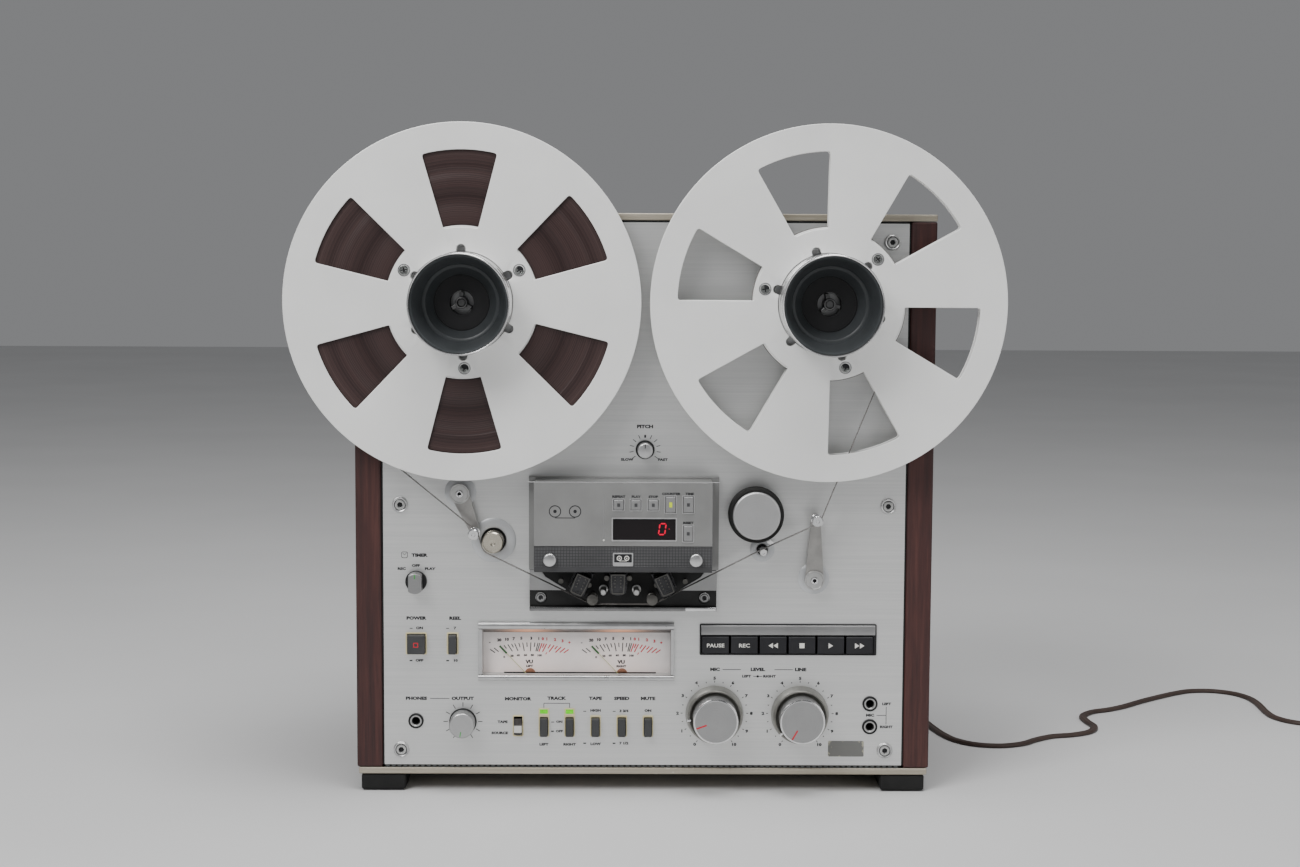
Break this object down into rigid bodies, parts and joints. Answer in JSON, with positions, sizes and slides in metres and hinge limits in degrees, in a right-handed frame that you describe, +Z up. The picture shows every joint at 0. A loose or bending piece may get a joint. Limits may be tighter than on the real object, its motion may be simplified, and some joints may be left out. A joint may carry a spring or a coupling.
{
  "type": "reel to reel tape deck",
  "caption": "Upright open-reel tape deck in a wooden case, with metal reels, hub adapters, a head block, two level meters, keys and knobs.",
  "frame": {"origin": "on the standing surface, under the middle of the deck's own box", "axes": "+X to the viewer's right, +Y from the front panel to the rear, +Z up"},
  "size_m": [0.9629, 0.4305, 0.5103],
  "materials": {
    "panel_aluminium": "fine horizontal brushing, satin",
    "side_wood": "dark red-brown veneer, satin",
    "pale_trim": "champagne foil, satin",
    "black_metal": "fine texture, matt",
    "foot_rubber": "matt",
    "reel_aluminium": "satin anodised",
    "tape": "smooth wound edges",
    "adapter_grey": "fine texture, with a bright turned rim",
    "bright_steel": "turned and polished",
    "roller_brass": "turned",
    "rubber": "ground",
    "knob_aluminium": "spun faces, satin",
    "housing_grey": "metallic grey, satin",
    "cover_dark": "fine grid texture",
    "meter_card": "printed card",
    "key_black": "satin",
    "button_grey": "satin",
    "cord_brown": "soft extruded vinyl"
  },
  "bodies": {
    "case": {"front_panel": "panel_aluminium", "side_panel_left": "side_wood", "side_panel_right": "side_wood", "top_cover": "pale_trim", "bottom_plate": "pale_trim", "back_cover": "black_metal", "foot_rail_left": "foot_rubber", "foot_rail_right": "foot_rubber", "head_base": "black_metal", "counter_housing": "housing_grey", "meter_housing": "meter_card", "cord_gland": "key_black", "power_cord": "cord_brown", "cord_coil": "cord_brown", "power_plug": "key_black"},
    "supply_reel": {"supply_flange_front": "reel_aluminium", "supply_flange_back": "reel_aluminium", "tape_pack": "tape", "supply_spindle": "bright_steel"},
    "supply_adapter": {"supply_adapter": "adapter_grey"},
    "takeup_reel": {"takeup_flange_front": "reel_aluminium", "takeup_flange_back": "reel_aluminium", "takeup_spindle": "bright_steel"},
    "takeup_adapter": {"takeup_adapter": "adapter_grey"},
    "tension_arm_left": {"tension_arm_left": "bright_steel"},
    "tension_arm_right": {"tension_arm_right": "bright_steel"},
    "impedance_roller": {"impedance_roller": "roller_brass"},
    "capstan": {"capstan": "bright_steel"},
    "pinch_arm": {"pinch_arm": "knob_aluminium"},
    "pinch_roller": {"pinch_roller": "rubber"},
    "head_cover": {"head_cover": "cover_dark"},
    "pitch_knob": {"pitch_knob": "knob_aluminium"},
    "timer_knob": {"timer_knob": "housing_grey"},
    "output_knob": {"output_knob": "knob_aluminium"},
    "mic_level_knob": {"mic_level_knob": "knob_aluminium"},
    "mic_level_ring": {"mic_level_ring": "knob_aluminium"},
    "line_level_knob": {"line_level_knob": "knob_aluminium"},
    "line_level_ring": {"line_level_ring": "knob_aluminium"},
    "key_pause": {"key_pause": "key_black"},
    "key_record": {"key_record": "key_black"},
    "key_rewind": {"key_rewind": "key_black"},
    "key_stop": {"key_stop": "key_black"},
    "key_play": {"key_play": "key_black"},
    "key_forward": {"key_forward": "key_black"},
    "power_button": {"power_button": "button_grey"},
    "reel_size_button": {"reel_size_button": "button_grey"},
    "track_left_button": {"track_left_button": "button_grey"},
    "track_right_button": {"track_right_button": "button_grey"},
    "tape_type_button": {"tape_type_button": "button_grey"},
    "tape_speed_button": {"tape_speed_button": "button_grey"},
    "rec_mute_button": {"rec_mute_button": "button_grey"},
    "button_repeat": {"button_repeat": "housing_grey"},
    "button_auto_play": {"button_auto_play": "housing_grey"},
    "button_auto_stop": {"button_auto_stop": "housing_grey"},
    "button_counter": {"button_counter": "housing_grey"},
    "button_min_sec": {"button_min_sec": "housing_grey"},
    "button_reset": {"button_reset": "housing_grey"},
    "monitor_switch": {"monitor_switch": "button_grey"},
    "needle_left": {"needle_left": "key_black"},
    "needle_right": {"needle_right": "key_black"}
  },
  "joints": [
    {"name": "supply_spin", "type": "hinge", "parent": "case", "child": "supply_reel", "pos_m": [-0.1366, -0.075, 0.377], "axis": [0, -1, 0], "continuous": true},
    {"name": "takeup_spin", "type": "hinge", "parent": "case", "child": "takeup_reel", "pos_m": [0.1366, -0.075, 0.377], "axis": [0, -1, 0], "continuous": true},
    {"name": "supply_adapter_lock", "type": "hinge", "parent": "supply_reel", "child": "supply_adapter", "pos_m": [-0.1366, -0.075, 0.377], "axis": [0, -1, 0], "range_deg": [0, 45]},
    {"name": "takeup_adapter_lock", "type": "hinge", "parent": "takeup_reel", "child": "takeup_adapter", "pos_m": [0.1366, -0.075, 0.377], "axis": [0, -1, 0], "range_deg": [0, 45]},
    {"name": "left_arm_swing", "type": "hinge", "parent": "case", "child": "tension_arm_left", "pos_m": [-0.14, -0.075, 0.232], "axis": [0, -1, 0], "range_deg": [-35, 0], "stiffness_Nm_per_rad": 0.05, "springref_deg": 22.92},
    {"name": "right_arm_swing", "type": "hinge", "parent": "case", "child": "tension_arm_right", "pos_m": [0.1295, -0.075, 0.1666], "axis": [0, -1, 0], "range_deg": [0, 18], "stiffness_Nm_per_rad": 0.05, "springref_deg": -22.92},
    {"name": "impedance_roller_spin", "type": "hinge", "parent": "case", "child": "impedance_roller", "pos_m": [-0.1147, -0.075, 0.1954], "axis": [0, -1, 0], "continuous": true},
    {"name": "capstan_spin", "type": "hinge", "parent": "case", "child": "capstan", "pos_m": [0.09, -0.075, 0.189], "axis": [0, -1, 0], "continuous": true},
    {"name": "pinch_engage", "type": "hinge", "parent": "case", "child": "pinch_arm", "pos_m": [0.04499, -0.075, 0.20979], "axis": [0, 1, 0], "range_deg": [0, 7.2], "stiffness_Nm_per_rad": 1.5, "springref_deg": -11.46},
    {"name": "pinch_roller_spin", "type": "hinge", "parent": "pinch_arm", "child": "pinch_roller", "pos_m": [0.0842, -0.075, 0.2177], "axis": [0, -1, 0], "continuous": true},
    {"name": "head_cover_pull", "type": "slide", "parent": "case", "child": "head_cover", "axis": [0, -1, 0], "range_m": [0, 0.03]},
    {"name": "pitch_knob_turn", "type": "hinge", "parent": "case", "child": "pitch_knob", "pos_m": [0.0003, -0.075, 0.2652], "axis": [0, 1, 0], "range_deg": [-140, 140]},
    {"name": "timer_knob_turn", "type": "hinge", "parent": "case", "child": "timer_knob", "pos_m": [-0.1739, -0.075, 0.1635], "axis": [0, 1, 0], "range_deg": [-40, 40]},
    {"name": "output_knob_turn", "type": "hinge", "parent": "case", "child": "output_knob", "pos_m": [-0.1386, -0.075, 0.0546], "axis": [0, 1, 0], "range_deg": [0, 290]},
    {"name": "mic_level_knob_turn", "type": "hinge", "parent": "case", "child": "mic_level_knob", "pos_m": [0.0546, -0.075, 0.061], "axis": [0, 1, 0], "range_deg": [-38, 256]},
    {"name": "mic_level_ring_turn", "type": "hinge", "parent": "case", "child": "mic_level_ring", "pos_m": [0.0546, -0.075, 0.061], "axis": [0, 1, 0], "range_deg": [-48, 246]},
    {"name": "line_level_knob_turn", "type": "hinge", "parent": "case", "child": "line_level_knob", "pos_m": [0.1203, -0.075, 0.061], "axis": [0, 1, 0], "range_deg": [0, 294]},
    {"name": "line_level_ring_turn", "type": "hinge", "parent": "case", "child": "line_level_ring", "pos_m": [0.1203, -0.075, 0.061], "axis": [0, 1, 0], "range_deg": [-17, 277]},
    {"name": "key_pause_press", "type": "slide", "parent": "case", "child": "key_pause", "axis": [0, 1, 0], "range_m": [0, 0.002], "stiffness_N_per_m": 400},
    {"name": "key_record_press", "type": "slide", "parent": "case", "child": "key_record", "axis": [0, 1, 0], "range_m": [0, 0.002], "stiffness_N_per_m": 400},
    {"name": "key_rewind_press", "type": "slide", "parent": "case", "child": "key_rewind", "axis": [0, 1, 0], "range_m": [0, 0.002], "stiffness_N_per_m": 400},
    {"name": "key_stop_press", "type": "slide", "parent": "case", "child": "key_stop", "axis": [0, 1, 0], "range_m": [0, 0.002], "stiffness_N_per_m": 400},
    {"name": "key_play_press", "type": "slide", "parent": "case", "child": "key_play", "axis": [0, 1, 0], "range_m": [0, 0.002], "stiffness_N_per_m": 400},
    {"name": "key_forward_press", "type": "slide", "parent": "case", "child": "key_forward", "axis": [0, 1, 0], "range_m": [0, 0.002], "stiffness_N_per_m": 400},
    {"name": "power_button_press", "type": "slide", "parent": "case", "child": "power_button", "axis": [0, 1, 0], "range_m": [0, 0.0035], "stiffness_N_per_m": 250},
    {"name": "reel_size_button_press", "type": "slide", "parent": "case", "child": "reel_size_button", "axis": [0, 1, 0], "range_m": [0, 0.0035], "stiffness_N_per_m": 250},
    {"name": "track_left_button_press", "type": "slide", "parent": "case", "child": "track_left_button", "axis": [0, 1, 0], "range_m": [0, 0.0035], "stiffness_N_per_m": 250},
    {"name": "track_right_button_press", "type": "slide", "parent": "case", "child": "track_right_button", "axis": [0, 1, 0], "range_m": [0, 0.0035], "stiffness_N_per_m": 250},
    {"name": "tape_type_button_press", "type": "slide", "parent": "case", "child": "tape_type_button", "axis": [0, 1, 0], "range_m": [0, 0.0035], "stiffness_N_per_m": 250},
    {"name": "tape_speed_button_press", "type": "slide", "parent": "case", "child": "tape_speed_button", "axis": [0, 1, 0], "range_m": [0, 0.0035], "stiffness_N_per_m": 250},
    {"name": "rec_mute_button_press", "type": "slide", "parent": "case", "child": "rec_mute_button", "axis": [0, 1, 0], "range_m": [0, 0.0035], "stiffness_N_per_m": 250},
    {"name": "button_repeat_press", "type": "slide", "parent": "case", "child": "button_repeat", "axis": [0, 1, 0], "range_m": [0, 0.001], "stiffness_N_per_m": 500},
    {"name": "button_auto_play_press", "type": "slide", "parent": "case", "child": "button_auto_play", "axis": [0, 1, 0], "range_m": [0, 0.001], "stiffness_N_per_m": 500},
    {"name": "button_auto_stop_press", "type": "slide", "parent": "case", "child": "button_auto_stop", "axis": [0, 1, 0], "range_m": [0, 0.001], "stiffness_N_per_m": 500},
    {"name": "button_counter_press", "type": "slide", "parent": "case", "child": "button_counter", "axis": [0, 1, 0], "range_m": [0, 0.001], "stiffness_N_per_m": 500},
    {"name": "button_min_sec_press", "type": "slide", "parent": "case", "child": "button_min_sec", "axis": [0, 1, 0], "range_m": [0, 0.001], "stiffness_N_per_m": 500},
    {"name": "button_reset_press", "type": "slide", "parent": "case", "child": "button_reset", "axis": [0, 1, 0], "range_m": [0, 0.001], "stiffness_N_per_m": 500},
    {"name": "monitor_switch_rock", "type": "hinge", "parent": "case", "child": "monitor_switch", "pos_m": [-0.0963, -0.073, 0.0514], "axis": [-1, 0, 0], "range_deg": [0, 20]},
    {"name": "needle_left_swing", "type": "hinge", "parent": "case", "child": "needle_left", "pos_m": [-0.0873, -0.075, 0.0878], "axis": [0, 1, 0], "range_deg": [0, 86], "stiffness_Nm_per_rad": 0.0001, "springref_deg": -28.65},
    {"name": "needle_right_swing", "type": "hinge", "parent": "case", "child": "needle_right", "pos_m": [-0.0166, -0.075, 0.0878], "axis": [0, 1, 0], "range_deg": [0, 86], "stiffness_Nm_per_rad": 0.0001, "springref_deg": -28.65}
  ]
}
